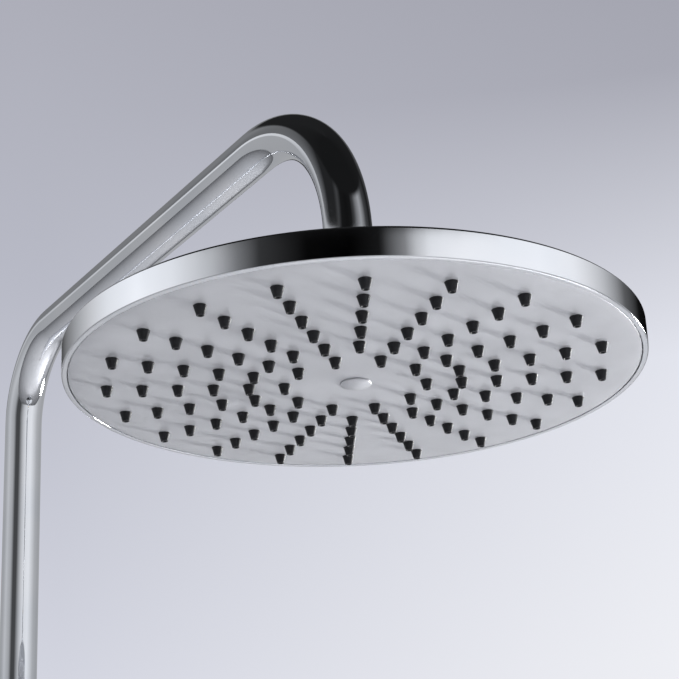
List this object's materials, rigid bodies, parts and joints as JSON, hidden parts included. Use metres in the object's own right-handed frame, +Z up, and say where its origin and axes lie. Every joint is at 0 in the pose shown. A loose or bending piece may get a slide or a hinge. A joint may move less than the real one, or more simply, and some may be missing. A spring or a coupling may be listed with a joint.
{
  "type": "shower column",
  "caption": "Wall-held tubular shower column: a swivelling bent arm carries a round flat rain head on a ball joint, with a wall bracket, a sleeve and a union nut at its foot.",
  "frame": {"origin": "centre of the wall plate's back face, which lies on the wall", "axes": "+X to the right when facing the wall, +Y into the wall, +Z up; the arm and head reach out along -Y"},
  "size_m": [0.25, 0.56, 1.0648],
  "materials": {
    "chromed_brass": "polished chrome plate",
    "chromed_plastic": "polished chrome plate on plastic",
    "satin_plate": "satin metallic grey",
    "nozzle_silicone": "matte black silicone",
    "seals": "black rubber",
    "acetal": "off-white acetal",
    "chamber_plastic": "black moulded plastic",
    "bare_brass": "machined brass",
    "plain_steel": "plain stainless steel",
    "steel_screws": "stainless steel"
  },
  "bodies": {
    "column": {"wall_plate": "plain_steel", "bracket_holder": "chromed_brass", "bracket_bush": "acetal", "post_lock_screw": "steel_screws", "bush_lock_screw": "steel_screws", "riser_tube": "chromed_brass", "joint_sleeve": "chromed_brass", "sleeve_lock_screw": "steel_screws", "sleeve_rings": "seals", "inlet_tail": "chromed_brass", "inlet_washer": "seals"},
    "rosette": {"rosette": "chromed_brass", "rosette_ring": "seals"},
    "union_nut": {"union_nut": "chromed_brass"},
    "arm": {"arm_tube": "chromed_brass", "arm_nipple": "bare_brass", "swivel_ball": "chromed_brass", "filter_washer": "seals", "flow_regulator": "acetal"},
    "ball_seat": {"ball_seat": "acetal"},
    "head": {"ball_nut": "chromed_brass", "ball_seal": "seals", "head_hub": "bare_brass", "hub_gasket": "seals", "hub_lock_nut": "chromed_brass", "hub_ring": "seals", "head_shell": "chromed_plastic", "face_plate": "satin_plate", "nozzle_mat": "nozzle_silicone", "chamber_plate": "chamber_plastic", "chamber_gasket": "seals", "chamber_screws": "steel_screws", "centre_screw": "steel_screws", "centre_cap": "satin_plate"}
  },
  "joints": [
    {"name": "arm_swivel", "type": "hinge", "parent": "column", "child": "arm", "pos_m": [0, -0.06, 0], "axis": [0, 0, 1], "range_deg": [-75, 75]},
    {"name": "head_spin", "type": "hinge", "parent": "arm", "child": "ball_seat", "pos_m": [0, -0.435, 0.206], "axis": [0, 0, 1], "continuous": true},
    {"name": "head_tilt", "type": "hinge", "parent": "ball_seat", "child": "head", "pos_m": [0, -0.435, 0.206], "axis": [1, 0, 0], "range_deg": [-15, 15]},
    {"name": "union_nut_spin", "type": "hinge", "parent": "column", "child": "union_nut", "pos_m": [0, -0.06, -0.72], "axis": [0, 0, 1], "continuous": true},
    {"name": "rosette_slide", "type": "slide", "parent": "column", "child": "rosette", "axis": [0, -1, 0], "range_m": [0, 0.02]}
  ]
}
